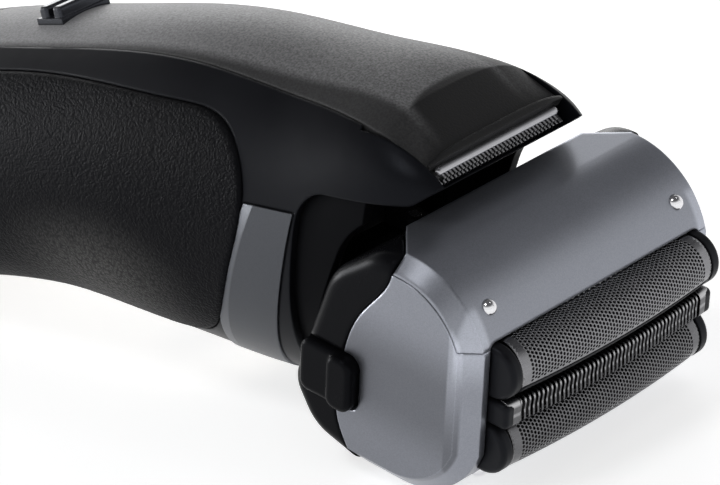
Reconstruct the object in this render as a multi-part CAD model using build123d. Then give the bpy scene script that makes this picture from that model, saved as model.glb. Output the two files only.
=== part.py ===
from build123d import *
import math
import os

os.makedirs("parts", exist_ok=True)

# Frame: +X runs along the handle to the shaving head, +Y is the left side, +Z is up.
# The shaver lies face down, trimmer side up, on the belly of its tail and on its head.

# Fits
SEAM = 0.15  # between pieces of one body that lie side by side
RUN_GAP = 0.3  # between pieces that move past each other
PIN_PLAY = 0.05  # radial play of a pin in the bore it moves in
REACH = 120.0  # half size of the blocks that only cut or limit a shape
TABLE = 0.8  # how far below the drawing's zero level the table lies

# Handle form
HANDLE_LENGTH = 148.0  # tail face to visor tip
HANDLE_WIDTH = 46.4
VISOR_TIP_X = 66.0
TAIL_X = VISOR_TIP_X - HANDLE_LENGTH
HANDLE_WALL = 2.0
UNDERSIDE_POWER = 2.4
SECTION_POINTS = 40
# share of length, underside, top, share of width, height of the widest point, power of the crown
HANDLE_SECTIONS = (
    (0.000, 2.4, 30.5, 0.668, 17.0, 2.1),
    (0.041, -0.3, 37.5, 0.819, 19.0, 2.1),
    (0.108, -0.3, 43.0, 0.905, 21.5, 2.0),
    (0.216, 3.8, 47.4, 0.961, 25.0, 2.0),
    (0.331, 7.0, 50.5, 0.991, 27.5, 2.0),
    (0.453, 8.0, 53.2, 1.000, 29.0, 2.0),
    (0.581, 6.2, 55.8, 1.000, 29.0, 2.0),
    (0.655, 4.9, 56.4, 0.991, 28.5, 2.0),
    (0.723, 3.8, 56.1, 0.983, 28.5, 2.0),
    (0.797, 3.4, 55.4, 0.970, 29.0, 2.05),
    (0.865, 4.0, 54.4, 0.940, 31.0, 2.3),
    (0.926, 9.0, 51.8, 0.888, 34.0, 2.9),
    (0.973, 17.0, 47.6, 0.802, 36.5, 4.0),
    (1.000, 25.0, 44.2, 0.716, 38.0, 4.6),
)

# Head: its own frame has +X out of the foils and its origin at the centre of its round back
HEAD_X = 69.4
HEAD_Z = 16.7
HEAD_TILT = 13.0
HEAD_WIDTH = 55.6
HEAD_DEPTH = 38.0
HEAD_WALL = 1.5
HEAD_EDGE = 2.7  # bevel round the frame's end faces
HEAD_FRONT = 8.0
CROWN_RADIUS = 14.8  # rounding of the frame from its flat back part to the foils
CROWN_X = HEAD_FRONT - 14.2
FRAME_TAIL = -22.0  # how far back the frame's form is drawn before its back edge is cut
FRAME_EDGE = (  # the frame's back edge in side view
    (-6.6, 28.0),
    (-7.4, 19.0),
    (-7.6, 16.0),
    (-10.5, 10.9),
    (-13.2, 7.2),
    (-15.1, 3.0),
    (-16.6, -5.0),
    (-16.8, -11.4),
    (-15.0, -15.4),
    (-8.0, -28.0),
)
TONGUE_BACK = -12.4  # back edge of the frame's top between its corners
TONGUE_HALF = 19.5
TONGUE_LOW = 16.4
BASE_ROUND = 2.4
BASE_WALL = 2.0
BASE_BACK = (  # corners of the base's back in side view, with their rounding
    (-11.0, 18.6, 8.0),
    (-20.0, 11.5, 10.0),
    (-26.6, -9.5, 5.0),
    (-22.0, -16.2, 8.0),
    (-12.0, -18.6, 10.0),
)

# Neck between handle and head, in the head's frame
NECK_FACE = -32.0
NECK_PLATE = 3.0
GIMBAL_X = -27.4
GIMBAL_PIN = 1.0  # radius
NECK_CORNER = 6.0
VISOR_UNDERSIDE = 40.6  # height in the handle's frame
VISOR_RISE_X = 62.0  # where the underside starts to rise to the tip
VISOR_RISE = 0.62  # slope of that rise
NECK_WALL = 1.8
SKIRT_INSET = 1.2  # how far the skirt lies inside the housing's outside
SKIRT_FRONT = -20.5
SKIRT_GAP = 3.9  # room for the head to swing and tilt
FORK_HALF = 4.2
FORK_PLATE = 2.5
FORK_ROUND = 1.9
WINDOW_WIDTH = 26.0
YOKE_WIDTH = 15.0
EAR_INNER = 8.2
EAR_PLATE = 2.6
EAR_RADIUS = 2.6
POCKET_HALF = 14.0  # half width of the base's pocket for the gimbal
POCKET_DEPTH = 9.5  # half height of that pocket

# Trimmer
TRACK_FLOOR = 43.9  # height of the floor that the carriage slides on
COVER_WIDTH_FRONT = 29.6
COVER_WALL = 1.5
COVER_SKIN = 0.4  # least wall beside the blades
COVER_PLAN = (  # share of handle length, half width
    (0.290, 9.7),
    (0.331, 9.9),
    (0.459, 10.1),
    (0.581, 10.5),
    (0.662, 10.9),
    (0.723, 11.4),
    (0.797, 12.2),
    (0.845, 13.0),
    (0.892, 14.1),
)
COVER_FRONT_SHARE = 0.946
COVER_TAIL_ROUND = 7.0
BEVEL_ANGLE = 40.0
CREASE_ROW = 11  # handle section that the bevel starts at
BEVEL_X = 62.7
BEVEL_Z = 45.1
BEVEL_LIP = 0.8
CARRIAGE_FRONT = BEVEL_X - 4.2
BLADE_THICKNESS = 0.6
BLADE_GAP = 0.05
BLADE_LENGTH = 4.4  # back edge to the tips of the teeth
CUTTER_TIP = 2.0
COMB_TIP = 2.4
TOOTH_DEPTH = 1.1
TOOTH_COUNT = 33
TOOTH_PITCH = 0.8
TRIMMER_TRAVEL = 10.0
FLOOR_PLATE = 2.0
BLADE_POCKET = 2.3  # depth of the blade pocket below the track floor
POCKET_SHARE = 0.895
CUTTER_STROKE = 0.8
FOOT_LENGTH = 30.0
FOOT_WIDTH = 5.4
FOOT_SHARE = 0.351  # where the foot starts
KNOB_SHARE = 0.382
KNOB_LENGTH = 9.6  # across the handle
KNOB_RIB = 2.0
KNOB_GROOVE = 1.2
KNOB_HEIGHT = 2.2
KNOB_SLOPE = 8.0

# Grip pads, band and front cover
GRIP_PROUD = 0.5
GRIP_DEPTH = 1.4
BAND_PROUD = 0.25
BAND_DEPTH = 1.3
BAND_TOP = 36.9
COVER_PANEL_WIDTH = 28.4
COVER_PANEL_WALL = 1.8
PANEL_FRONT_SHARE = 0.640
PANEL_TAIL_SHARE = 0.115
SIDE_LIMIT = 20.0  # height that parts the underside from the sides

# Tail
CAP_SHARE = 0.051
GASKET = 0.5
CAP_PLUG = 4.0
INLET_WIDTH = 13.0
INLET_HEIGHT = 7.6
INLET_DEPTH = 11.0
INLET_WALL = 2.0
INLET_Z = 17.0
PIN_RADIUS = 1.1
PIN_SPACING = 6.5
PIN_REACH = 6.0

# Inside the handle
CHASSIS_Z = 20.0
CHASSIS_PLATE = 2.0
BATTERY_RADIUS = 7.1
BATTERY_LENGTH = 50.0
BATTERY_SHARE = 0.420
BOARD_LENGTH = 60.0
BOARD_WIDTH = 26.0
BOARD_PLATE = 1.6
STANDOFF = 1.8
BUTTON_SHARE = 0.514
BUTTON_RADIUS = 6.2
BUTTON_TRAVEL = 0.8
SWITCH_HEIGHT = 3.0
PLUNGER_RADIUS = 1.4
FLANGE_Z = 10.2
FLANGE_PLATE = 1.0
BEZEL_WIDTH = 1.1
LIGHT_SHARE = 0.405
SCREW_RADIUS = 1.0
SCREW_HEAD = 2.0
SCREW_Y = 11.0
SCREW_SINK = 1.8
SCREW_LENGTH = 17.0

# Foil cassette, in the head's frame
FOIL_LENGTH = 43.0
FOIL_RADIUS = 4.2
FOIL_WALL = 0.25
FOIL_CROWN = 13.0
FOIL_STEP = 0.45  # how far the upper foil stands out and the lower one back
FOIL_BOW = 200.0  # radius of the foils' bow along their length
FOIL_LEG = 3.6
FOIL_SPACING = 0.25
MIDDLE_HALF = 2.05
MIDDLE_ROUND = 0.9
MIDDLE_CROWN = 12.4
CASSETTE_Z = -1.3  # height of the middle foil
FOIL_TRAVEL = 2.0
HOLDER_END = 1.9
HOLDER_FOOT = 2.8
HOLDER_RAIL = 1.0
HOLDER_PROUD = 0.12
TAB_REACH = 1.2
TAB_PLATE = 1.5
SEAM_DROP = 0.6  # how far the frame's seam lies below the window's top
WINDOW_CORNER = 1.5
STUD_RADIUS = 1.15
STUD_SPACING = 42.0
STUD_ANGLE = 40.5
STUD_SHANK = 0.6
CASSETTE_BACK = 2.5
CASSETTE_FRONT = 6.0

# Drive in the head
CORE_WIDTH = 43.0
CORE_DEPTH = 27.0
CORE_WALL = 1.8
CORE_FRONT = -1.3
CORE_BACK = -18.0
CORE_PLATE = 5.5
MOVER_FRONT = -1.3
MOVER_PLATE = 2.4
MOVER_WIDTH = 30.0
MAGNET_PLATE = 1.6
ROD_RADIUS = 0.7
ROD_Z = 7.0
POST_RADIUS = 0.6
POST_Y = 8.0
DRIVE_STROKE = 1.2
BLADE_PLAY = 0.2
BLADE_SLOTS = 24
POST_TOP = 7.2
BAR_LOW = 5.2
BAR_HIGH = 6.8
STATOR_WIDTH = 28.0
STATOR_HALF = 8.0
COIL_PLATE = 3.2
RELEASE_X = -18.4
RELEASE_Z = -4.9
RELEASE_LENGTH = 10.6
RELEASE_HEIGHT = 8.8
RELEASE_CORNER = 1.8
RELEASE_PROUD = 1.2
RELEASE_RIB = 0.9
RELEASE_TRAVEL = 1.5


def at(share):
    """X of a share of the handle's length, counted from the tail face."""
    return TAIL_X + share * HANDLE_LENGTH


def span(x0, x1, y0, y1, z0, z1):
    """Block between two corners."""
    size = Box(x1 - x0, y1 - y0, z1 - z0)
    return Pos((x0 + x1) / 2, (y0 + y1) / 2, (z0 + z1) / 2) * size


def rod(radius, start, end):
    """Round bar between two points."""
    start, end = Vector(*start), Vector(*end)
    axis = end - start
    plane = Plane(origin=start, z_dir=axis)
    return plane * Cylinder(radius, axis.length, align=(Align.CENTER, Align.CENTER, Align.MIN))


def side_prism(outline, reach=REACH):
    """Prism across the handle or head from an outline drawn in X and Z."""
    return extrude(Plane.XZ * make_face(outline), reach, both=True)


def mirrored(shape):
    """The same piece on the other side."""
    return mirror(shape, about=Plane.XZ)


def group(shapes):
    """Separate solids kept as one node."""
    return Compound(children=[solid for shape in shapes for solid in shape.solids()])


def save(name, shape):
    """Write one piece, with the part's middle over the origin and the table at zero."""
    export_step(Pos(-MIDDLE_X, 0, TABLE) * shape, f"parts/{name}.step")


def handle_section(row, grow):
    """Closed section of the handle, an egg shape of two powers."""
    share, low, high, width, middle, power = row
    half = HANDLE_WIDTH / 2 * width + grow
    points = []
    for step in range(SECTION_POINTS):
        angle = 2 * math.pi * step / SECTION_POINTS
        across, upward = math.cos(angle), math.sin(angle)
        above = upward >= 0
        n = power if above else UNDERSIDE_POWER
        rise = high - middle + grow if above else middle - low + grow
        y = half * math.copysign(abs(across) ** (2 / n), across)
        z = middle + rise * math.copysign(abs(upward) ** (2 / n), upward)
        points.append((at(share), y, z))
    return Wire([Spline(*points, periodic=True)])


def handle_form(grow=0.0):
    """The handle's outer form, grown or shrunk all round."""
    return Solid.make_loft([handle_section(row, grow) for row in HANDLE_SECTIONS])


def head_point(x, z):
    """Handle-frame X and Z of a point in the head's frame."""
    turn = math.radians(HEAD_TILT)
    return (
        HEAD_X + x * math.cos(turn) + z * math.sin(turn),
        HEAD_Z - x * math.sin(turn) + z * math.cos(turn),
    )


HEAD = Location((HEAD_X, 0, HEAD_Z), (0, HEAD_TILT, 0))
FOIL_OFFSET = MIDDLE_HALF + FOIL_SPACING + FOIL_RADIUS
FRONT_X = head_point(FOIL_CROWN + FOIL_STEP - FOIL_RADIUS, CASSETTE_Z + FOIL_OFFSET)[0] + FOIL_RADIUS
MIDDLE_X = (TAIL_X + FRONT_X) / 2
BEVEL = Location((BEVEL_X, 0, BEVEL_Z), (0, BEVEL_ANGLE, 0))
FORM = handle_form()
CAVITY = handle_form(-HANDLE_WALL)
LINER = handle_form(-HANDLE_WALL - SEAM)  # what fits inside the housing's walls


def head_room():
    """Space in front of the neck face and under the visor."""
    turn = math.radians(HEAD_TILT)
    corner_z = (VISOR_UNDERSIDE - HEAD_Z + NECK_FACE * math.sin(turn)) / math.cos(turn)
    corner = head_point(NECK_FACE, corner_z)
    foot = head_point(NECK_FACE, -REACH)
    outline = FilletPolyline(
        foot,
        corner,
        (VISOR_RISE_X, VISOR_UNDERSIDE),
        (REACH, VISOR_UNDERSIDE + VISOR_RISE * (REACH - VISOR_RISE_X)),
        (REACH, foot[1]),
        radius=[1.0, NECK_CORNER, 3.0, 1.0, 1.0],
        close=True,
    )
    return side_prism(outline)


def cover_prism(grow, low):
    """Upright prism on the trimmer cover's plan, open to the front."""
    side = [(at(share), half + grow) for share, half in COVER_PLAN]
    half_front = COVER_WIDTH_FRONT / 2 + grow
    side.append((at(COVER_FRONT_SHARE), half_front))
    start = side[0]
    tail = (start[0] - COVER_TAIL_ROUND - grow, 0)
    left = Spline(*side, tangents=[(1, 0), (1, 0)])
    right = mirror(left, about=Plane.XZ)
    front = Polyline(side[-1], (REACH, half_front), (REACH, -half_front), (side[-1][0], -half_front))
    end = ThreePointArc(start, tail, (start[0], -start[1]))
    plan = make_face(Curve() + [left, front, right, end])
    return Pos(0, 0, low) * extrude(plan, REACH)


def panel_prism(grow):
    """Upright prism on the front cover's plan, below the sides."""
    tail, front = at(PANEL_TAIL_SHARE), at(PANEL_FRONT_SHARE)
    length, width = front - tail + 2 * grow, COVER_PANEL_WIDTH + 2 * grow
    plan = Pos((tail + front) / 2, 0) * RectangleRounded(length, width, width * 0.32)
    return Pos(0, 0, SIDE_LIMIT - REACH) * extrude(plan, REACH)


def grip_outline(grow):
    """Side view of a grip pad."""
    return Spline(
        (at(0.170) - grow, 24.0),
        (at(0.215) - grow, 38.5 + grow),
        (at(0.361), 46.1 + grow),
        (at(0.527), 48.3 + grow),
        (at(0.649), 48.4 + grow),
        (at(0.723) + grow, 46.4 + grow),
        (at(0.757) + grow, 39.4),
        (at(0.735) + grow, 26.6),
        (at(0.704) + grow, 17.9),
        (at(0.675) + grow, 13.6 - grow),
        (at(0.604), 11.4 - grow),
        (at(0.480), 13.2 - grow),
        (at(0.310), 10.6 - grow),
        (at(0.195) - grow, 10.5 - grow),
        periodic=True,
    )


def grip_prism(grow):
    """Prism of a grip pad on the right side only."""
    return extrude(Plane.XZ * make_face(grip_outline(grow)), REACH)


def band_prism(grow):
    """Prism of the neck band, which wraps the sides and the underside."""
    back_top, back_mid = (at(0.7625) - grow, BAND_TOP + grow), (at(0.694) - grow, 15.0)
    back_low = (at(0.640) - grow, -4.0)
    front_top = (at(0.829) + grow, BAND_TOP + grow)
    front_low = (at(0.690) + grow, -4.0)
    front = Spline(front_top, (at(0.8125) + grow, 29.4), (at(0.790) + grow, 20.5), front_low)
    back = Polyline(front_low, back_low, back_mid, back_top, front_top)
    return side_prism(Curve() + [front, back])


def track_foot(grow, low, high, extra=0.0):
    """Block of the carriage's foot, or of the slot that it runs in."""
    start = at(FOOT_SHARE)
    half = FOOT_WIDTH / 2 + grow
    return span(start - grow, start + FOOT_LENGTH + grow + extra, -half, half, low, high)


COVER_UNDERSIDE = TRACK_FLOOR + RUN_GAP
POCKET_BACK = at(POCKET_SHARE)
NOSE_HALF = COVER_WIDTH_FRONT / 2 - COVER_WALL / 2
CAP_X = at(CAP_SHARE)
BUTTON_X = at(BUTTON_SHARE)
LIGHT_X = at(LIGHT_SHARE)
BOARD_Z = CHASSIS_Z - STANDOFF - BOARD_PLATE
BATTERY_X = at(BATTERY_SHARE)
BATTERY_Z = CHASSIS_Z + CHASSIS_PLATE + BATTERY_RADIUS + 0.8
SCREW_Z = CHASSIS_Z + CHASSIS_PLATE / 2
INLET_FACE = TAIL_X + 0.3
INLET_BACK = INLET_FACE + INLET_DEPTH + INLET_WALL
RELEASE_INNER = HEAD_WIDTH / 2 - 2.2  # inner face of the base's side walls
OPENING_HALF = FOIL_OFFSET + FOIL_RADIUS + RUN_GAP
SEAM_HEIGHT = CASSETTE_Z + OPENING_HALF - SEAM_DROP
HOLDER_HALF = FOIL_LENGTH / 2 + 0.1 + HOLDER_END
ROD_X = MOVER_FRONT - MOVER_PLATE / 2
MAGNET_BACK = MOVER_FRONT - MOVER_PLATE - MAGNET_PLATE
STATOR_FRONT = MAGNET_BACK - 0.4
FOIL_LOW = FOIL_CROWN - FOIL_RADIUS - FOIL_LEG
FOIL_SINK = FOIL_BOW - math.sqrt(FOIL_BOW**2 - (FOIL_LENGTH / 2) ** 2)  # drop of the bow at the ends
CUTTER_TOP = -BEVEL_LIP - BLADE_GAP
COMB_TOP = CUTTER_TOP - BLADE_THICKNESS - BLADE_GAP
NOSE_TOP = COMB_TOP - BLADE_THICKNESS
NOSE_BACK = CUTTER_TIP - BLADE_LENGTH - 0.8
BLADE_HALF = TOOTH_COUNT * TOOTH_PITCH / 2 + 0.5


def make_main_housing():
    """Black body shell with the trimmer's track, the visor and the neck opening."""
    body = FORM & span(CAP_X, REACH, -REACH, REACH, -REACH, REACH)
    body -= head_room()
    floor_low = TRACK_FLOOR - FLOOR_PLATE
    hollow = CAVITY & span(-REACH, REACH, -REACH, REACH, -REACH, floor_low)
    body -= hollow & HEAD * span(-2 * REACH, NECK_FACE, -REACH, REACH, -REACH, REACH)
    body -= cover_prism(RUN_GAP, TRACK_FLOOR)
    pocket_half = COVER_WIDTH_FRONT / 2 + RUN_GAP
    pocket_low = TRACK_FLOOR - BLADE_POCKET
    body -= span(POCKET_BACK, REACH, -pocket_half, pocket_half, pocket_low, REACH)
    body -= track_foot(RUN_GAP, floor_low - 1, TRACK_FLOOR + 1, TRIMMER_TRAVEL)
    body -= panel_prism(SEAM)
    grip_bed = grip_prism(SEAM) - handle_form(-GRIP_DEPTH - SEAM)
    body -= grip_bed
    body -= mirrored(grip_bed)
    body -= band_prism(SEAM) - handle_form(-BAND_DEPTH - SEAM)
    return body


def make_front_cover():
    """Painted cover on the underside, with the button and the light in it."""
    cover = (FORM - handle_form(-COVER_PANEL_WALL)) & panel_prism(0)
    cover -= band_prism(SEAM)
    cover -= rod(BUTTON_RADIUS + RUN_GAP + BEZEL_WIDTH + SEAM, (BUTTON_X, 0, -9), (BUTTON_X, 0, 15))
    cover -= light_form(SEAM, -9, 15)
    return cover


def light_form(grow, low, high):
    """Rounded slot of the status light."""
    plan = Pos(LIGHT_X, 0) * SlotOverall(9 + 2 * grow, 2.4 + 2 * grow, rotation=90)
    return Pos(0, 0, low) * extrude(plan, high - low)


def make_grip():
    """Right grip pad, bonded into its bed and standing a little proud."""
    pad = grip_prism(0) & handle_form(GRIP_PROUD)
    return pad - handle_form(-GRIP_DEPTH) - panel_prism(SEAM)


def make_neck_band():
    """Painted band round the neck end of the handle."""
    band = band_prism(0) & handle_form(BAND_PROUD)
    return band - handle_form(-BAND_DEPTH) - grip_prism(SEAM) - mirrored(grip_prism(SEAM))


def make_tail_cap():
    """Cap that closes the tail, with the inlet's hole and two screw holes."""
    cap = FORM & span(-REACH, CAP_X - GASKET, -REACH, REACH, -REACH, REACH)
    cap += LINER & span(CAP_X - GASKET - 1, CAP_X + CAP_PLUG, -REACH, REACH, -REACH, REACH)
    hollow = handle_form(-2 * HANDLE_WALL)
    cap -= hollow & span(TAIL_X + 1.5 * HANDLE_WALL, REACH, -REACH, REACH, -REACH, REACH)
    cap -= inlet_form(INLET_WALL + SEAM, TAIL_X - 1, CAP_X + CAP_PLUG + 1)
    for side in (-1, 1):
        y = side * SCREW_Y
        cap -= rod(SCREW_RADIUS + SEAM, (TAIL_X - 1, y, SCREW_Z), (CAP_X + 9, y, SCREW_Z))
        cap -= rod(SCREW_HEAD + SEAM, (TAIL_X - 1, y, SCREW_Z), (TAIL_X + SCREW_SINK, y, SCREW_Z))
    return cap


def inlet_form(grow, start, end):
    """Rounded slot of the charging inlet, along the handle."""
    plan = SlotOverall(INLET_WIDTH + 2 * grow, INLET_HEIGHT + 2 * grow)
    plane = Plane(origin=(start, 0, INLET_Z), x_dir=(0, 1, 0), z_dir=(1, 0, 0))
    return extrude(plane * plan, end - start)


def make_gasket():
    """Rubber gasket in the joint between cap and housing."""
    ring = handle_form(-0.4) - CAVITY
    return ring & span(CAP_X - GASKET, CAP_X, -REACH, REACH, -REACH, REACH)


def make_inlet_socket():
    """Insulating cup of the charging inlet."""
    cup = inlet_form(INLET_WALL, INLET_FACE, INLET_BACK)
    cup -= inlet_form(0, INLET_FACE - 1, INLET_FACE + INLET_DEPTH)
    for side in (-1, 1):
        y = side * PIN_SPACING / 2
        cup -= rod(PIN_RADIUS, (INLET_FACE, y, INLET_Z), (INLET_BACK + 1, y, INLET_Z))
    return cup


def make_inlet_pins():
    """Two contact pins that end inside the inlet's mouth."""
    floor = INLET_FACE + INLET_DEPTH
    pins = []
    for side in (-1, 1):
        y = side * PIN_SPACING / 2
        pin = rod(PIN_RADIUS, (floor - PIN_REACH, y, INLET_Z), (floor + INLET_WALL + 3, y, INLET_Z))
        tip = pin.faces().sort_by(Axis.X)[0].edges()
        pins.append(chamfer(tip, 0.35))
    return group(pins)


def make_chassis():
    """Frame that carries the cell above and the board below."""
    low, high = CHASSIS_Z, CHASSIS_Z + CHASSIS_PLATE
    start, end = CAP_X + CAP_PLUG + SEAM, at(0.795)
    plate = LINER & span(start, end, -REACH, REACH, low, high)
    plate -= span(BUTTON_X - 9, BUTTON_X + 9, -8, 8, low - 1, high + 1)
    plate -= inlet_form(INLET_WALL + SEAM, TAIL_X, INLET_BACK + SEAM)
    plate -= HEAD * span(NECK_FACE - NECK_PLATE - SEAM, REACH, -REACH, REACH, -REACH, REACH)
    for x in (BATTERY_X - BATTERY_LENGTH * 0.32, BATTERY_X + BATTERY_LENGTH * 0.32):
        plate += span(x - 2.5, x + 2.5, -BATTERY_RADIUS - 2, BATTERY_RADIUS + 2, high, BATTERY_Z)
    ends = BATTERY_LENGTH / 2 + SEAM
    cell_room = rod(BATTERY_RADIUS + SEAM, (BATTERY_X - ends, 0, BATTERY_Z), (BATTERY_X + ends, 0, BATTERY_Z))
    for side in (-1, 1):
        y = side * SCREW_Y
        plate += rod(2.4, (start, y, SCREW_Z), (start + 9, y, SCREW_Z))
    plate -= cell_room
    for side in (-1, 1):
        y = side * SCREW_Y
        plate -= rod(SCREW_RADIUS, (start - 1, y, SCREW_Z), (start + 8, y, SCREW_Z))
    for x, y in board_corners():
        plate += rod(2.0, (x, y, BOARD_Z + BOARD_PLATE), (x, y, low + 0.5))
    return plate


def board_corners():
    """Places of the standoffs between chassis and board."""
    x = BOARD_LENGTH / 2 - 4
    y = BOARD_WIDTH / 2 - 3
    return [(BUTTON_X - 14 + i * x, j * y) for i in (-1, 1) for j in (-1, 1)]


def make_battery():
    """Cylindrical rechargeable cell with its raised terminal."""
    half = BATTERY_LENGTH / 2
    cell = rod(BATTERY_RADIUS, (BATTERY_X - half, 0, BATTERY_Z), (BATTERY_X + half - 1.2, 0, BATTERY_Z))
    cell = chamfer(cell.edges().filter_by(GeomType.CIRCLE), 0.6)
    return cell + rod(2.8, (BATTERY_X + half - 1.3, 0, BATTERY_Z), (BATTERY_X + half, 0, BATTERY_Z))


def make_battery_tabs():
    """Nickel strips welded to both ends of the cell."""
    half = BATTERY_LENGTH / 2
    tabs = []
    for side in (-1, 1):
        face = BATTERY_X + side * half
        inner, outer = sorted((face, face + side * 0.3))
        tabs.append(span(inner, outer, -2.5, 2.5, CHASSIS_Z + CHASSIS_PLATE, BATTERY_Z + 2.5))
    return group(tabs)


def make_board():
    """Circuit board under the chassis."""
    half = BOARD_LENGTH / 2
    x = BUTTON_X - 14
    board = span(x - half, x + half, -BOARD_WIDTH / 2, BOARD_WIDTH / 2, BOARD_Z, BOARD_Z + BOARD_PLATE)
    return fillet(board.edges().filter_by(Axis.Z), 1.5)


def make_board_parts():
    """Controller, charger coil, two capacitors and the status light's diode, under the board."""
    x = BUTTON_X - 14
    chip = span(x - 9, x - 1, -4.5, 3.5, BOARD_Z - 1.2, BOARD_Z)
    coil = span(x - 26, x - 17, -9, 0, BOARD_Z - 3.0, BOARD_Z)
    caps = [rod(2.0, (x - 21 + 5 * i, 6.5, BOARD_Z - 3.4), (x - 21 + 5 * i, 6.5, BOARD_Z)) for i in (0, 1)]
    diode = span(LIGHT_X - 1.2, LIGHT_X + 1.2, 4.2, 6.6, BOARD_Z - 1.4, BOARD_Z)
    return group([chip, fillet(coil.edges().filter_by(Axis.Z), 1.5), *caps, diode])


def make_switch():
    """Tact switch on the board above the power button."""
    low = BOARD_Z - SWITCH_HEIGHT
    case = span(BUTTON_X - 3, BUTTON_X + 3, -3, 3, low + 1.0, BOARD_Z)
    return case + rod(1.7, (BUTTON_X, 0, low), (BUTTON_X, 0, low + 1.2))


def make_power_button():
    """Push button in the front cover, with a flange inside and a plunger to the switch."""
    cap = rod(BUTTON_RADIUS, (BUTTON_X, 0, 0), (BUTTON_X, 0, FLANGE_Z + 0.1)) & handle_form(0.5)
    cap += rod(BUTTON_RADIUS + 0.9, (BUTTON_X, 0, FLANGE_Z), (BUTTON_X, 0, FLANGE_Z + FLANGE_PLATE))
    top = BOARD_Z - SWITCH_HEIGHT - BUTTON_TRAVEL - 0.1
    return cap + rod(PLUNGER_RADIUS, (BUTTON_X, 0, FLANGE_Z + 0.5), (BUTTON_X, 0, top))


def make_bezel():
    """Bright ring round the power button."""
    outer = BUTTON_RADIUS + RUN_GAP + BEZEL_WIDTH
    ring = rod(outer, (BUTTON_X, 0, 0), (BUTTON_X, 0, 15))
    ring -= rod(BUTTON_RADIUS + RUN_GAP, (BUTTON_X, 0, -1), (BUTTON_X, 0, 16))
    return (ring & handle_form(0.3)) - handle_form(-COVER_PANEL_WALL)


def make_light_pipe():
    """Clear bar that brings the status light to the front cover."""
    return light_form(0, 0, BOARD_Z - 1.5) & handle_form(0.1)


def make_case_screws():
    """Two screws through the tail cap into the chassis."""
    screws = []
    for side in (-1, 1):
        y = side * SCREW_Y
        seat = TAIL_X + SCREW_SINK
        head = rod(SCREW_HEAD, (seat - 1.4, y, SCREW_Z), (seat, y, SCREW_Z))
        head -= span(seat - 2, seat - 0.8, y - 1.4, y + 1.4, SCREW_Z - 0.3, SCREW_Z + 0.3)
        head -= span(seat - 2, seat - 0.8, y - 0.3, y + 0.3, SCREW_Z - 1.4, SCREW_Z + 1.4)
        screws.append(head + rod(SCREW_RADIUS, (seat - 0.1, y, SCREW_Z), (seat + SCREW_LENGTH, y, SCREW_Z)))
    return group(screws)


def make_neck_mount():
    """Plate in the handle's open end with a window and a fork for the swing pin."""
    plate = (HEAD.inverse() * LINER) & span(NECK_FACE - NECK_PLATE, NECK_FACE, -REACH, REACH, -REACH, REACH)
    plate -= HEAD.inverse() * span(-REACH, REACH, -REACH, REACH, TRACK_FLOOR - FLOOR_PLATE - SEAM, REACH)
    half = WINDOW_WIDTH / 2
    plate -= span(NECK_FACE - 9, NECK_FACE + 9, -half, half, -FORK_HALF + 0.1, FORK_HALF - 0.1)
    for low in (FORK_HALF, -FORK_HALF - FORK_PLATE):
        arm = span(NECK_FACE - NECK_PLATE, GIMBAL_X, -FORK_ROUND, FORK_ROUND, low, low + FORK_PLATE)
        plate += arm + rod(FORK_ROUND, (GIMBAL_X, 0, low), (GIMBAL_X, 0, low + FORK_PLATE))
    return plate - rod(GIMBAL_PIN, (GIMBAL_X, 0, -20), (GIMBAL_X, 0, 20))


def make_swing_pin():
    """Upright steel pin through the fork."""
    reach = FORK_HALF + FORK_PLATE
    return rod(GIMBAL_PIN, (GIMBAL_X, 0, -reach), (GIMBAL_X, 0, reach))


def make_yoke():
    """Cross piece that swings on the pin and carries the tilt pins."""
    half = FORK_HALF - RUN_GAP
    block = span(GIMBAL_X - 2.4, GIMBAL_X + 1.6, -YOKE_WIDTH / 2, YOKE_WIDTH / 2, -half, half)
    block = fillet(block.edges().filter_by(Axis.Y), 0.8)
    block -= rod(GIMBAL_PIN + PIN_PLAY, (GIMBAL_X, 0, -20), (GIMBAL_X, 0, 20))
    for side in (-1, 1):
        block -= rod(GIMBAL_PIN, (GIMBAL_X, side * 3, 0), (GIMBAL_X, side * 20, 0))
    return block


def make_tilt_pins():
    """Two level pins that the head tilts on."""
    end = EAR_INNER + EAR_PLATE
    pins = [rod(GIMBAL_PIN, (GIMBAL_X, side * 3, 0), (GIMBAL_X, side * end, 0)) for side in (-1, 1)]
    return group(pins)


def make_skirt():
    """Rubber skirt round the neck, which hides the gimbal and leaves the head its room."""
    local = HEAD.inverse()
    tube = local * handle_form(-SKIRT_INSET) - local * handle_form(-SKIRT_INSET - NECK_WALL)
    tube &= span(NECK_FACE, SKIRT_FRONT, -REACH, REACH, -REACH, REACH)
    tube &= local * head_room()
    tube -= local * span(-REACH, REACH, -REACH, REACH, VISOR_UNDERSIDE - RUN_GAP, REACH)
    return tube - base_form(-SKIRT_GAP)


# Head and frame, in the head's frame
def frame_profile(inset=0.0):
    """Side view of the frame: flat top and underside, round crowns and flat front."""
    high = HEAD_DEPTH / 2 - inset
    radius = CROWN_RADIUS - inset
    crown_z = HEAD_DEPTH / 2 - CROWN_RADIUS
    front = HEAD_FRONT - inset
    front_z = crown_z + math.sqrt(radius**2 - (front - CROWN_X) ** 2)
    middle = math.radians(52)
    crown = (CROWN_X + radius * math.cos(middle), crown_z + radius * math.sin(middle))
    return Curve() + [
        Line((front, -front_z), (front, front_z)),
        ThreePointArc((front, front_z), crown, (CROWN_X, high)),
        Polyline((CROWN_X, high), (FRAME_TAIL, high), (FRAME_TAIL, -high), (CROWN_X, -high)),
        ThreePointArc((CROWN_X, -high), (crown[0], -crown[1]), (front, -front_z)),
    ]


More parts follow.
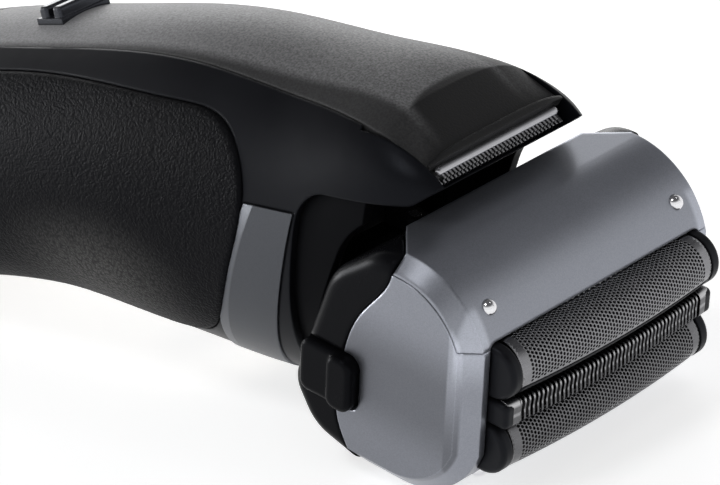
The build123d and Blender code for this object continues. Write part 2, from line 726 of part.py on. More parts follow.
def frame_form(inset=0.0):
    """The frame's outer form with bevelled ends, or its inside."""
    half = HEAD_WIDTH / 2 - inset
    bevel = HEAD_EDGE - (2 - math.sqrt(2)) * inset
    form = side_prism(frame_profile(inset), half - bevel)
    rings = []
    for y, depth in ((half - bevel, inset), (half, inset + bevel)):
        rings.append(Pos(0, y, 0) * (Plane.XZ * Wire(frame_profile(depth).edges())))
    return form + both_sides(Solid.make_loft(rings, ruled=True))


def base_profile(inset=0.0):
    """Side view of the base with its round back."""
    corners = []
    for x, z, bend in BASE_BACK:
        share = 1 - inset / math.hypot(x, z)
        corners.append((x * share, z * share, bend - inset))
    start, end = corners[0], corners[-1]
    points = [(HEAD_FRONT, start[1]), *[corner[:2] for corner in corners], (HEAD_FRONT, end[1])]
    bends = [0.5, *[corner[2] for corner in corners], 0.5]
    return FilletPolyline(*points, radius=bends, close=True)


def base_form(inset=0.0):
    """The base's outer form with round ends, or its inside."""
    form = side_prism(base_profile(inset), HEAD_WIDTH / 2 - inset)
    faces = form.faces().sort_by(Axis.Y)
    edges = faces[0].edges() + faces[-1].edges()
    return fillet(edges.filter_by(lambda edge: edge.center().X < HEAD_FRONT - 1), BASE_ROUND)


def frame_side(shift=0.0):
    """Everything in front of the frame's slanted back edge and of the tongue on its top."""
    edge = [(x + shift, z) for x, z in FRAME_EDGE]
    rest = Polyline(edge[-1], (60, edge[-1][1]), (60, edge[0][1]), edge[0])
    side = side_prism(Curve() + [Spline(*edge), rest])
    corner = edge[1][0]
    back, half = TONGUE_BACK + shift, TONGUE_HALF - shift
    slant = HEAD_WIDTH / 2 - HEAD_EDGE
    left = [(0, slant), (corner, slant), (back, half)]
    right = [(x, -y) for x, y in reversed(left)]
    plan = make_face(Polyline(*left, *right, close=True))
    return side + Pos(0, 0, TONGUE_LOW + shift) * extrude(plan, REACH)


def release_block(grow, inner, outer):
    """Block of the left release button with round corners."""
    face = RectangleRounded(RELEASE_LENGTH + 2 * grow, RELEASE_HEIGHT + 2 * grow, RELEASE_CORNER + grow)
    return Pos(RELEASE_X, outer, RELEASE_Z) * extrude(Plane.XZ * face, outer - inner)


def both_sides(shape):
    """The left-hand shape and its mirror image."""
    return shape + mirrored(shape)


def make_head_base():
    """Black cup of the head: round back, ears for the tilt pins and a box for the drive."""
    shell = base_form() - frame_side(-RUN_GAP)
    shell -= side_prism(base_profile(BASE_WALL), RELEASE_INNER)
    half, deep = CORE_WIDTH / 2, CORE_DEPTH / 2
    back = CORE_BACK - CORE_PLATE
    wide, tall = POCKET_HALF + BASE_WALL, POCKET_DEPTH + BASE_WALL
    shell += span(-REACH, back + 1, -wide, wide, -tall, tall) & base_form()
    shell -= span(-REACH, back, -POCKET_HALF, POCKET_HALF, -POCKET_DEPTH, POCKET_DEPTH)
    core = span(back, CORE_FRONT, -half, half, -deep, deep) & base_form(0.5)
    wide, tall = half - CORE_WALL, deep - CORE_WALL
    room = span(CORE_BACK, CORE_FRONT + 9, -wide, wide, -tall, tall)
    for side in (-1, 1):
        inner, outer = sorted((side * EAR_INNER, side * (EAR_INNER + EAR_PLATE)))
        ear = rod(EAR_RADIUS, (GIMBAL_X, inner, 0), (GIMBAL_X, outer, 0))
        ear += span(GIMBAL_X, back + 1, inner, outer, -EAR_RADIUS, EAR_RADIUS)
        shell += ear
    base = shell + core - room
    base -= rod(GIMBAL_PIN + PIN_PLAY, (GIMBAL_X, -20, 0), (GIMBAL_X, 20, 0))
    base -= both_sides(release_block(RUN_GAP, RELEASE_INNER - RELEASE_TRAVEL - 1, REACH))
    for z in (-ROD_Z, ROD_Z):
        base -= rod(ROD_RADIUS, (ROD_X, -half + 0.4, z), (ROD_X, half - 0.4, z))
    return base


def make_release_button():
    """Left release button: a plate with a raised rib, kept in by a flange inside."""
    face = HEAD_WIDTH / 2 + RELEASE_PROUD
    flange_out = RELEASE_INNER - RUN_GAP
    plate = release_block(0, flange_out - 0.5, face)
    plate = fillet(plate.faces().sort_by(Axis.Y)[-1].edges(), 0.8)
    rib_back = RELEASE_X + RELEASE_LENGTH * 0.06
    z = RELEASE_HEIGHT / 2
    rib_front = RELEASE_X + RELEASE_LENGTH / 2
    rib = span(rib_back, rib_front, face - 3, face + RELEASE_RIB, RELEASE_Z - z, RELEASE_Z + z)
    rib = fillet(rib.edges().filter_by(Axis.Y), RELEASE_CORNER)
    rib = fillet(rib.faces().sort_by(Axis.Y)[-1].edges(), 0.7)
    flange = release_block(1.0, flange_out - 1.2, flange_out) & side_prism(base_profile(BASE_WALL + RUN_GAP))
    return plate + rib + flange


def make_guide_rods():
    """Two steel rods that the mover runs on."""
    half = CORE_WIDTH / 2 - 0.4
    return group([rod(ROD_RADIUS, (ROD_X, -half, z), (ROD_X, half, z)) for z in (-ROD_Z, ROD_Z)])


def make_motor_core():
    """Laminated E core of the linear motor."""
    half = STATOR_WIDTH / 2
    core = span(CORE_BACK, STATOR_FRONT, -half, half, -STATOR_HALF, STATOR_HALF)
    leg = STATOR_WIDTH / 7
    for side in (-1, 1):
        inner, outer = sorted((side * leg / 2 * 1.4, side * (half - leg)))
        core -= span(CORE_BACK + 4, STATOR_FRONT + 1, inner, outer, -STATOR_HALF - 1, STATOR_HALF + 1)
    return core


def make_motor_coil():
    """Coil round the core's middle leg."""
    leg = STATOR_WIDTH / 7 / 2 * 1.4 + SEAM
    back, front = CORE_BACK + 4 + SEAM, STATOR_FRONT - 0.6
    outer = span(back, front, -leg - COIL_PLATE, leg + COIL_PLATE, -STATOR_HALF - 2.5, STATOR_HALF + 2.5)
    outer = fillet(outer.edges().filter_by(Axis.X), 1.6)
    return outer - span(back - 1, front + 1, -leg, leg, -STATOR_HALF - SEAM, STATOR_HALF + SEAM)


def foil_rows():
    """Name, height, half width, rounding and crown of each foil."""
    z, step = CASSETTE_Z, FOIL_STEP
    return (
        ("upper", z + FOIL_OFFSET, FOIL_RADIUS, FOIL_RADIUS, FOIL_CROWN + step),
        ("middle", z, MIDDLE_HALF, MIDDLE_ROUND, MIDDLE_CROWN),
        ("lower", z - FOIL_OFFSET, FOIL_RADIUS, FOIL_RADIUS, FOIL_CROWN - step),
    )


def make_mover():
    """Drive plate on the rods with two posts for each inner cutter."""
    half = MOVER_WIDTH / 2
    deep = ROD_Z + 2.2
    plate = span(MOVER_FRONT - MOVER_PLATE, MOVER_FRONT, -half, half, -deep, deep)
    plate = fillet(plate.edges().filter_by(Axis.X), 1.5)
    for z in (-ROD_Z, ROD_Z):
        plate -= rod(ROD_RADIUS + PIN_PLAY, (ROD_X, -half - 1, z), (ROD_X, half + 1, z))
    for name, z, half_width, corner, crown in foil_rows():
        for side in (-1, 1):
            plate += rod(POST_RADIUS, (MOVER_FRONT - 0.2, side * POST_Y, z), (POST_TOP, side * POST_Y, z))
    return plate


def make_magnets():
    """Two magnets bonded to the mover's back."""
    half = MOVER_WIDTH / 2 - 2
    blocks = []
    for side in (-1, 1):
        inner, outer = sorted((side * 0.8, side * half))
        blocks.append(span(MAGNET_BACK, MAGNET_BACK + MAGNET_PLATE, inner, outer, -6.5, 6.5))
    return group(blocks)


def arch_outline(half, corner, crown, low, z):
    """Upright section of a foil: straight legs and a crown with two round corners."""
    side = crown - corner
    slope = corner * (1 - math.sqrt(0.5))
    flat = half - corner
    outline = Curve() + [
        Line((low, z - half), (side, z - half)),
        ThreePointArc((side, z - half), (crown - slope, z - half + slope), (crown, z - flat)),
        ThreePointArc((crown, z + flat), (crown - slope, z + half - slope), (side, z + half)),
        Polyline((side, z + half), (low, z + half), (low, z - half)),
    ]
    if flat > 0:
        outline += Line((crown, z - flat), (crown, z + flat))
    return outline


def arch(half, corner, crown, low, z, length):
    """Bowed bar with a round top, as long as given, standing on a straight level."""
    face = Plane.XZ * make_face(arch_outline(half, corner, crown, low, z))
    turn = math.degrees(math.asin(length / 2 / FOIL_BOW))
    axis = Axis((FOIL_CROWN - FOIL_BOW, 0, 0), (0, 0, 1))
    return revolve(face, axis, 2 * turn).rotate(axis, -turn)


def make_foil(z, half, corner, crown):
    """Thin foil, arched across and bowed along, with legs into its holder."""
    skin = arch(half, corner, crown, FOIL_LOW, z, FOIL_LENGTH)
    inside = max(corner - FOIL_WALL, 0.5)
    return skin - arch(half - FOIL_WALL, inside, crown - FOIL_WALL, FOIL_LOW - 1, z, FOIL_LENGTH + 2)


def make_holder(z, half, corner, crown):
    """Holder with round end blocks, two rails and tabs that keep it in the cassette."""
    inner = FOIL_LENGTH / 2 + 0.1
    rail_top = FOIL_LOW - FOIL_SINK - 0.1
    top = crown - FOIL_SINK + HOLDER_PROUD
    outline = arch_outline(half, corner, top, HOLDER_FOOT, z)
    block = Pos(0, inner + HOLDER_END, 0) * extrude(Plane.XZ * make_face(outline), HOLDER_END)
    outer_edges = block.faces().sort_by(Axis.Y)[-1].edges()
    block = fillet(outer_edges.filter_by(lambda e: e.center().X > HOLDER_FOOT + 0.5), 0.8)
    tab_half = half * 0.6
    tab_top = CASSETTE_BACK - RUN_GAP
    outer = HOLDER_HALF + TAB_REACH
    tab = span(HOLDER_FOOT - TAB_PLATE, tab_top, inner + 0.3, outer, z - tab_half, z + tab_half)
    neck_end = HOLDER_HALF - 0.4
    neck = span(tab_top - 0.2, HOLDER_FOOT + 0.5, inner + 0.3, neck_end, z - tab_half, z + tab_half)
    holder = both_sides(block + tab + neck)
    rail = half - HOLDER_RAIL
    bars = span(HOLDER_FOOT, rail_top, -inner - 0.5, inner + 0.5, z - half, z + half)
    bars -= span(HOLDER_FOOT - 1, rail_top + 1, -inner, inner, z - rail, z + rail)
    return holder + bars


def make_inner_cutter(z, half, corner, crown):
    """Slotted inner cutter on a bar that rides on the mover's posts."""
    top = crown - FOIL_WALL - BLADE_PLAY
    outer = half - FOIL_WALL - BLADE_PLAY
    bend = max(corner - FOIL_WALL - BLADE_PLAY, 0.4)
    length = FOIL_LENGTH - 2 * DRIVE_STROKE - 1.6
    blade = arch(outer, bend, top, BAR_HIGH - 0.3, z, length)
    blade -= arch(outer - 0.7, max(bend - 0.7, 0.3), top - 0.7, BAR_HIGH - 2, z, length + 2)
    pitch = (length - 2) / BLADE_SLOTS
    slots = [
        span(BAR_HIGH + 1.6, REACH, y - pitch * 0.32, y + pitch * 0.32, z - half, z + half)
        for y in [(i - (BLADE_SLOTS - 1) / 2) * pitch for i in range(BLADE_SLOTS)]
    ]
    blade -= slots
    foot = half - HOLDER_RAIL - RUN_GAP
    bar_half = FOIL_LENGTH / 2 - DRIVE_STROKE - 1.0
    blade += span(BAR_HIGH - 0.4, BAR_HIGH + 0.5, -bar_half, bar_half, z - outer, z + outer)
    blade += span(BAR_LOW, BAR_HIGH, -bar_half, bar_half, z - foot, z + foot)
    for side in (-1, 1):
        y = side * POST_Y
        blade -= rod(POST_RADIUS + PIN_PLAY, (BAR_LOW - 1, y, z), (BAR_HIGH + 2, y, z))
    return blade


def window(grow):
    """Opening of the frame for the foils, with round corners."""
    plan = RectangleRounded(2 * (HOLDER_HALF + grow), 2 * OPENING_HALF, WINDOW_CORNER)
    return Pos(0, 0, CASSETTE_Z) * extrude(Plane.YZ * plan, REACH)


def make_frame():
    """The painted frame before it is parted in two."""
    frame = frame_form() - frame_form(HEAD_WALL)
    frame &= frame_side()
    frame -= window(RUN_GAP)
    for side in (-1, 1):
        for y in (-STUD_SPACING / 2, STUD_SPACING / 2):
            frame -= stud_axis(y, side) * Cylinder(STUD_SHANK, 9)
    return frame - both_sides(release_block(RUN_GAP + 0.1, RELEASE_INNER, REACH))


def frame_ends(grow):
    """The two flat end faces, which belong to the frame's lower piece."""
    wall = HEAD_WIDTH / 2 - HEAD_WALL - SEAM - grow
    end = Pos(0, REACH, 0) * extrude(Plane.XZ * make_face(frame_profile(HEAD_EDGE - grow)), REACH - wall)
    return both_sides(end)


def stud_axis(y, side):
    """Place on the crown where a stud sits, with +Z out of the surface."""
    angle = math.radians(STUD_ANGLE)
    crown_z = HEAD_DEPTH / 2 - CROWN_RADIUS
    x = CROWN_X + CROWN_RADIUS * math.cos(angle)
    z = crown_z + CROWN_RADIUS * math.sin(angle)
    return Location((x, y, side * z), (0, 90 - STUD_ANGLE if side > 0 else 90 + STUD_ANGLE, 0))


def make_studs():
    """Chrome studs with a domed head and a short shank."""
    studs = []
    for side in (-1, 1):
        for y in (-STUD_SPACING / 2, STUD_SPACING / 2):
            dome = Sphere(STUD_RADIUS * 1.15) & span(-3, 3, -3, 3, 0.35, 3)
            dome = Pos(0, 0, -0.35) * dome
            shank = Pos(0, 0, -HEAD_WALL / 2 + 0.1) * Cylinder(STUD_SHANK, HEAD_WALL)
            studs.append(stud_axis(y, side) * (dome + shank))
    return group(studs)


def make_cassette():
    """Black inner frame that guides the three holders."""
    ring = frame_form(HEAD_WALL + SEAM)
    ring &= span(CASSETTE_BACK, CASSETTE_FRONT, -REACH, REACH, -REACH, REACH)
    half = HOLDER_HALF + RUN_GAP
    low, high = CASSETTE_Z - OPENING_HALF, CASSETTE_Z + OPENING_HALF
    return ring - span(-9, REACH, -half, half, low, high)


# Trimmer
def blade_plate(tip, half, high):
    """Blade in the bevel's frame, teeth to the front."""
    low = high - BLADE_THICKNESS
    plate = span(tip - BLADE_LENGTH, tip, -half, half, low, high)
    slots = [
        span(tip - TOOTH_DEPTH, tip + 1, y - TOOTH_PITCH * 0.26, y + TOOTH_PITCH * 0.26, low - 1, high + 1)
        for y in [(i - (TOOTH_COUNT - 1) / 2) * TOOTH_PITCH for i in range(TOOTH_COUNT)]
    ]
    return plate - slots


def bevel_cut(drop=0.0):
    """Everything above the cover's bevel, from a crowned crease to the straight front edge."""
    share, low, high, width, middle, power = HANDLE_SECTIONS[CREASE_ROW]
    half = HANDLE_WIDTH / 2 * width
    reach = COVER_WIDTH_FRONT / 2 + 2
    crown = []
    for step in range(-12, 13):
        y = reach * step / 12
        rise = (1 - (abs(y) / half) ** power) ** (1 / power)
        crown.append((at(share), y, middle + (high - middle) * rise))
    wires = []
    for x, front in ((at(share), Spline(*crown)), (BEVEL_X, None)):
        left, right = (crown[0], crown[-1]) if front else ((x, -reach, BEVEL_Z), (x, reach, BEVEL_Z))
        edge = front or Line(left, right)
        rest = Polyline(right, (x, reach, REACH), (x, -reach, REACH), left)
        wires.append(Wire(edge.edges() + rest.edges()))
    return Pos(0, 0, -drop) * Solid.make_loft(wires, ruled=True)


def make_trimmer_cover():
    """Textured cover that slides along the handle's top and shades the trimmer's blades."""
    cover = FORM & cover_prism(0, COVER_UNDERSIDE)
    cover -= bevel_cut()
    cover -= BEVEL * span(0, REACH, -REACH, REACH, -REACH, REACH)
    hollow = handle_form(-COVER_WALL) & cover_prism(-COVER_WALL, 0)
    hollow &= span(-REACH, CARRIAGE_FRONT + SEAM, -REACH, REACH, -REACH, REACH)
    cover -= hollow - bevel_cut(COVER_WALL)
    blade_room = BEVEL * span(NOSE_BACK, REACH, -NOSE_HALF, NOSE_HALF, -REACH, -BEVEL_LIP)
    return cover - (blade_room & handle_form(-COVER_SKIN)) + (blade_room & bevel_cut(COVER_SKIN) & cover)


def make_carriage():
    """Slide under the cover: plate, foot through the track's slot and nose under the blades."""
    start, end = at(COVER_PLAN[0][0]) + 2, CARRIAGE_FRONT
    plate = span(start, end, -7.5, 7.5, COVER_UNDERSIDE, COVER_UNDERSIDE + 1.6)
    nose_low = TRACK_FLOOR - BLADE_POCKET + RUN_GAP
    nose_half = NOSE_HALF - SEAM
    nose = span(POCKET_BACK + RUN_GAP, VISOR_TIP_X, -nose_half, nose_half, nose_low, BEVEL_Z + 3)
    nose -= BEVEL * span(-REACH, REACH, -REACH, REACH, NOSE_TOP, REACH)
    nose &= BEVEL * span(NOSE_BACK + SEAM, 0.6, -REACH, REACH, -REACH, REACH)
    nose &= handle_form(-COVER_WALL - 0.4)
    nose -= bevel_cut(COVER_SKIN + SEAM)
    foot = track_foot(0, TRACK_FLOOR - FLOOR_PLATE - RUN_GAP, COVER_UNDERSIDE + 0.5)
    return plate + nose + foot


def make_slide_shoe():
    """Plate under the track's floor that keeps the carriage down."""
    top = TRACK_FLOOR - FLOOR_PLATE - RUN_GAP
    shoe = track_foot(2.2, top - 1.4, top)
    for x in shoe_screws():
        shoe -= rod(SCREW_RADIUS + SEAM, (x, 0, top - 3), (x, 0, top + 1))
    return shoe


def shoe_screws():
    """X of the screws that hold the shoe to the carriage's foot."""
    start = at(FOOT_SHARE)
    return (start + FOOT_LENGTH * 0.2, start + FOOT_LENGTH * 0.8)


def make_trimmer_screws():
    """Two screws from the shoe up into the foot."""
    seat = TRACK_FLOOR - FLOOR_PLATE - RUN_GAP - 1.4
    screws = []
    for x in shoe_screws():
        head = rod(SCREW_HEAD, (x, 0, seat - 1.2), (x, 0, seat))
        screws.append(head + rod(SCREW_RADIUS, (x, 0, seat - 0.1), (x, 0, seat + 3.0)))
    return group(screws)


def make_knob():
    """Thumb knob of two ribs with a groove between, on the cover's crown."""
    x = at(KNOB_SHARE)
    top = FORM & span(x - 0.1, x + 0.1, -0.1, 0.1, -REACH, REACH)
    level = top.bounding_box().max.Z
    half = KNOB_LENGTH / 2
    reach = KNOB_GROOVE / 2 + KNOB_RIB
    ribs = []
    for side in (-1, 1):
        inner, outer = sorted((side * KNOB_GROOVE / 2, side * reach))
        rib = span(inner, outer, -half, half, -3, KNOB_HEIGHT)
        ribs.append(fillet(rib.edges().filter_by(lambda e: e.center().Z > -2.9), 0.6))
    base = span(-reach - 0.4, reach + 0.4, -half - 0.4, half + 0.4, -3, 0.4)
    knob = base + ribs[0] + ribs[1]
    return Location((x, 0, level), (0, -KNOB_SLOPE, 0)) * knob - FORM


# Build
carriage = make_carriage()
for x in shoe_screws():
    carriage -= rod(SCREW_RADIUS, (x, 0, 0), (x, 0, TRACK_FLOOR - FLOOR_PLATE + 1.5))

save("main_housing", make_main_housing())
save("front_cover", make_front_cover())
grip = make_grip()
save("right_grip", grip)
save("left_grip", mirrored(grip))
save("neck_band", make_neck_band())
save("tail_cap", make_tail_cap())
save("tail_gasket", make_gasket())
save("inlet_socket", make_inlet_socket())
save("inlet_pins", make_inlet_pins())
save("inner_chassis", make_chassis())
save("battery_cell", make_battery())
save("battery_tabs", make_battery_tabs())
save("circuit_board", make_board())
save("board_parts", make_board_parts())
save("tact_switch", make_switch())
save("power_button", make_power_button())
save("button_bezel", make_bezel())
save("light_pipe", make_light_pipe())
save("case_screws", make_case_screws())
save("trimmer_cover", make_trimmer_cover())
save("trimmer_carriage", carriage)
save("slide_shoe", make_slide_shoe())
save("trimmer_screws", make_trimmer_screws())
save("trimmer_knob", make_knob())
save("trimmer_cutter", BEVEL * blade_plate(CUTTER_TIP, BLADE_HALF - CUTTER_STROKE, CUTTER_TOP))
save("trimmer_comb", BEVEL * blade_plate(COMB_TIP, BLADE_HALF, COMB_TOP))
save("neck_mount", HEAD * make_neck_mount())
save("swing_pin", HEAD * make_swing_pin())
save("neck_skirt", HEAD * make_skirt())
save("head_yoke", HEAD * make_yoke())
save("tilt_pins", HEAD * make_tilt_pins())
save("head_base", HEAD * make_head_base())
button = make_release_button()
save("left_release", HEAD * button)
save("right_release", HEAD * mirrored(button))
save("guide_rods", HEAD * make_guide_rods())
save("motor_core", HEAD * make_motor_core())
save("motor_coil", HEAD * make_motor_coil())
save("drive_mover", HEAD * make_mover())
save("drive_magnets", HEAD * make_magnets())
frame = make_frame()
upper_part = span(-REACH, REACH, -REACH, REACH, SEAM_HEIGHT, REACH)
lower_part = span(-REACH, REACH, -REACH, REACH, -REACH, SEAM_HEIGHT - SEAM)
save("frame_top", HEAD * ((frame & upper_part) - frame_ends(SEAM)))
save("frame_body", HEAD * ((frame & lower_part) + (frame & frame_ends(0))))
save("frame_studs", HEAD * make_studs())
save("cassette_frame", HEAD * make_cassette())
for name, *row in foil_rows():
    save(f"{name}_foil", HEAD * make_foil(*row))
    save(f"{name}_holder", HEAD * make_holder(*row))
    save(f"{name}_inner_cutter", HEAD * make_inner_cutter(*row))
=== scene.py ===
import math

import bpy
from mathutils import Matrix, Vector


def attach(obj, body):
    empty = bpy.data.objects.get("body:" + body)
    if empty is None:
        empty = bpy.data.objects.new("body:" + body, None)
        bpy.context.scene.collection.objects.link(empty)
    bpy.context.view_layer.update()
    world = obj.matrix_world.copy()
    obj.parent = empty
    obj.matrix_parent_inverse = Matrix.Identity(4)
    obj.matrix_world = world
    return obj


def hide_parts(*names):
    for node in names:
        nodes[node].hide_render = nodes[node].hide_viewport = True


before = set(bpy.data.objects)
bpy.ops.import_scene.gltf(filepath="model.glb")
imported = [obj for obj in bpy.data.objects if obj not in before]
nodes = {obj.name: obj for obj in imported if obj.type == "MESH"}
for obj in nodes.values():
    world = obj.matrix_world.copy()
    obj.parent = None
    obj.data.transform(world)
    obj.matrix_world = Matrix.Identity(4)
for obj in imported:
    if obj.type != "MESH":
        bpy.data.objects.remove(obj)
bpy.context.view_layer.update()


# Handle shell: the main housing is one deep moulding in satin black polymer. Its mould is
# spark eroded, so the skin has a very fine grain and the light on it stays soft.
class Value:
    """One output of a shader node. Arithmetic on it adds the nodes that it needs."""

    def __init__(self, link):
        self.link = link

    def node(self, kind, settings=None, sockets=None, out=0):
        """One output of a new node, its settings made first and its sockets filled or linked next."""
        tree = self.link.id_data
        made = tree.nodes.new("ShaderNode" + kind)
        for name, value in (settings or {}).items():
            setattr(made, name, value)
        for name, value in (sockets or {}).items():
            if isinstance(value, Value):
                tree.links.new(value.link, made.inputs[name])
            else:
                made.inputs[name].default_value = value
        return Value(made.outputs[out])

    def maths(self, operation, first, second):
        """First and second put together, as numbers or as vectors."""
        pair = (first, second)
        if all(not isinstance(v, Value) or v.link.type == "VALUE" for v in pair):
            return self.node("Math", {"operation": operation}, dict(enumerate(pair)))
        pair = [v if isinstance(v, (Value, tuple)) else (v, v, v) for v in pair]
        return self.node("VectorMath", {"operation": operation}, dict(enumerate(pair)))

    def __add__(self, other):
        return self.maths("ADD", self, other)

    def __radd__(self, other):
        return self.maths("ADD", other, self)

    def __sub__(self, other):
        return self.maths("SUBTRACT", self, other)

    def __rsub__(self, other):
        return self.maths("SUBTRACT", other, self)

    def __mul__(self, other):
        return self.maths("MULTIPLY", self, other)

    def __rmul__(self, other):
        return self.maths("MULTIPLY", other, self)

    def __abs__(self):
        return self.node("Math", {"operation": "ABSOLUTE"}, {0: self})

    def noise(self, per_mm, detail=2.0):
        """Soft noise at so many lumps in a millimetre."""
        return self.node("TexNoise", {}, {"Vector": self, "Scale": per_mm, "Detail": detail})

    def between(self, low, high):
        """0 below low, 1 above high, and smooth from one to the other."""
        limits = {"Value": self, "From Min": low, "From Max": high}
        return self.node("MapRange", {"interpolation_type": "SMOOTHSTEP"}, limits)

    def swing(self, spread):
        """This value about its middle, spread over so wide a range."""
        return spread * (self - 0.5)

    def mix(self, first, second):
        """First colour where this value is 0, second where it is 1."""
        return self.node("Mix", {"data_type": "RGBA"}, {0: self, 6: (*first, 1), 7: (*second, 1)}, 2)

    def vary(self, colour, low, high):
        """Colour with its light scaled by low where this value is 0 and by high where it is 1."""
        return self.mix(shaded(colour, low), shaded(colour, high))


def surface(name, **fixed):
    """New material, its shader with fixed sockets set, and the place on the surface in millimetres."""
    made = bpy.data.materials.new(name)
    made.use_nodes = True
    shader = made.node_tree.nodes["Principled BSDF"]
    for socket, value in fixed.items():
        shader.inputs[socket.replace("_", " ")].default_value = value
    coordinates = made.node_tree.nodes.new("ShaderNodeTexCoord")
    return made, shader, Value(coordinates.outputs["Object"]) * 1000


def feed(shader, **links):
    """Links what varies over the surface to the shader."""
    for socket, value in links.items():
        shader.id_data.links.new(value.link, shader.inputs[socket.replace("_", " ")])


def rounded(place, edge):
    """Normal of a surface whose edges are rounded to a radius in millimetres."""
    return place.node("Bevel", {"samples": 6}, {"Radius": edge / 1000})


def relief(place, height, depth, edge):
    """Normal of a skin with a pattern so deep and edges so round, both in millimetres."""
    bumps = {"Height": height, "Distance": depth / 1000, "Normal": rounded(place, edge)}
    return place.node("Bump", {}, bumps)


def shaded(colour, share):
    """Colour with its light scaled by share."""
    return tuple(part * share for part in colour)


cool_gloss = (0.8, 0.86, 1.0, 1.0)
flow_marks = 0.09


def moulded(name, colour, rough, grain=5.0, depth=0.005, edge=0.3, **fixed):
    """Moulded plastic or rubber: eroded grain, faint flow marks in colour and gloss, soft edges."""
    made, shader, place = surface(name, Specular_Tint=cool_gloss, **fixed)
    flow = place.noise(flow_marks, 3.0)
    fine = place.noise(grain)
    feed(
        shader,
        Base_Color=flow.vary(colour, 0.8, 1.2),
        Roughness=rough + flow.swing(0.16) + fine.swing(0.2),
        Normal=relief(place, fine, depth, edge),
    )
    return made


def finish(material, *names):
    """Gives CAD nodes their material."""
    for name in names:
        slots = nodes[name].data.materials
        slots.clear()
        slots.append(material)


shell_black = (0.005, 0.0052, 0.0066)
satin = moulded("satin shell", shell_black, 0.36, grain=4.5, depth=0.006, edge=0.5, Specular_IOR_Level=0.1)
finish(satin, "main_housing")

# Tail: a black cap plugs the shell's tail on a thin rubber gasket, held by two steel screws.
# The charging inlet is a separate black socket with two brass pins in it.
plug_black = (0.009, 0.009, 0.01)
gasket_black = (0.016, 0.016, 0.016)
screw_steel = (0.55, 0.55, 0.56)
pin_brass = (0.66, 0.47, 0.22)


def rolled(name, colour, rough, along, depth=0.003, edge=0.08):
    """Metal with fine lines, drawn out along the direction whose scale is the smallest."""
    made, shader, place = surface(name, Metallic=1.0)
    stretched = place.node("Mapping", {"vector_type": "POINT"}, {"Vector": place, "Scale": along})
    lines = stretched.noise(1.0, 3.0)
    cloud = place.noise(0.3)
    feed(
        shader,
        Base_Color=(0.6 * lines + 0.4 * cloud).vary(colour, 0.7, 1.25),
        Roughness=rough + lines.swing(0.25),
        Normal=relief(place, lines, depth, edge),
    )
    return made


dull_black = moulded("dull black plastic", plug_black, 0.42, depth=0.008, Specular_IOR_Level=0.12)
finish(dull_black, "tail_cap", "inlet_socket")
finish(moulded("black rubber", gasket_black, 0.7, grain=3.0, depth=0.012), "tail_gasket")
bright_steel = rolled("bright steel", screw_steel, 0.26, (6.0, 0.7, 6.0))
finish(bright_steel, "case_screws")
finish(rolled("pin brass", pin_brass, 0.24, (0.7, 6.0, 6.0)), "inlet_pins")

# Grips: side panels of soft-touch elastomer with a leather grain, moulded on the shell's
# flanks. They stand a little proud and their edge rolls over into the shell's groove.
rubber_black = (0.0022, 0.0022, 0.0029)
pale_grain_and_highlight = (0.12, 0.118, 0.114)
pebbles_per_mm = (1.85, 2.05, 2.35)
pebble_sway = 1.5
pores_per_mm = 3.6
grain_depth = 0.13
grip_edge = 0.6
# Two oval patches of painted highlight, given by X and Z: a large one low on the right flank and a long one
# near the top.
palm_highlight_middle = (-4.5, 20.5)
palm_highlight_reach = (24.0, 13.0)
top_highlight_middle = (8.0, 45.0)
top_highlight_reach = (30.0, 9.0)
skin_step = 0.00035
weld_gap = 0.000002


def axis(place, letter):
    """One coordinate of a place."""
    return place.node("SeparateXYZ", {}, {"Vector": place}, letter)


def highlight_patch(place, middle, reach):
    """1 in the middle of an oval patch of the flank, given by its X and Z, and 0 outside it."""
    scale = (1 / reach[0], 0, 1 / reach[1])
    shift = (-middle[0] / reach[0], 0, -middle[1] / reach[1])
    offset = place.node("Mapping", {}, {"Vector": place, "Scale": scale, "Location": shift})
    away = offset.node("VectorMath", {"operation": "LENGTH"}, {0: offset}, "Value")
    return 1 - away.between(0.0, 1.0)


def leather():
    """Grained elastomer: uneven pebbles with creases between, and painted highlight in two patches, the
    larger on the right side.
    """
    made, shader, place = surface("leather grain", Specular_IOR_Level=0.05, Specular_Tint=cool_gloss)
    sway = place.node("TexNoise", {}, {"Vector": place, "Scale": 0.7, "Detail": 3.0}, "Color")
    swayed = place + sway.swing(pebble_sway)
    stretched = swayed.node("Mapping", {}, {"Vector": swayed, "Scale": pebbles_per_mm})
    cell = {"Vector": stretched, "Scale": 1.0, "Smoothness": 0.35}
    pebble = 1 - stretched.node("TexVoronoi", {"feature": "SMOOTH_F1"}, cell, "Distance")
    pores = place.noise(pores_per_mm, 3.0)
    right_side = 1 - axis(place, "Y").between(-1.0, 1.0)
    palm_highlight = right_side * highlight_patch(place, palm_highlight_middle, palm_highlight_reach)
    top_highlight = highlight_patch(place, top_highlight_middle, top_highlight_reach)
    # Pebble crests are faintly paler everywhere, and much paler in the two patches of painted highlight.
    paler_share = (0.015 + 0.66 * palm_highlight + 0.05 * top_highlight) * (0.35 + 0.65 * pebble.between(0.1, 0.9))
    feed(
        shader,
        Base_Color=paler_share.mix(rubber_black, pale_grain_and_highlight),
        Roughness=0.5 - 0.12 * palm_highlight + pores.swing(0.16),
        Normal=relief(place, 0.75 * pebble + 0.25 * pores, grain_depth, grip_edge),
    )
    return made


def add_piece(name, mesh, material, body):
    """Puts a new piece on a body, with its material."""
    piece = bpy.data.objects.new(name, mesh)
    bpy.context.scene.collection.objects.link(piece)
    mesh.materials.clear()
    mesh.materials.append(material)
    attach(piece, body)
    return piece


grained = leather()
for side in ("left", "right"):
    node = side + "_grip"
    skin = add_piece(side + "_grip_skin", nodes[node].data.copy(), grained, "handle")
    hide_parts(node)
    weld = skin.modifiers.new("weld", "WELD")
    weld.merge_threshold = weld_gap
    remesh = skin.modifiers.new("even skin", "REMESH")
    remesh.voxel_size = skin_step
    remesh.use_smooth_shade = True
    smooth = skin.modifiers.new("rolled edge", "SMOOTH")
    smooth.factor = 0.5
    smooth.iterations = 8
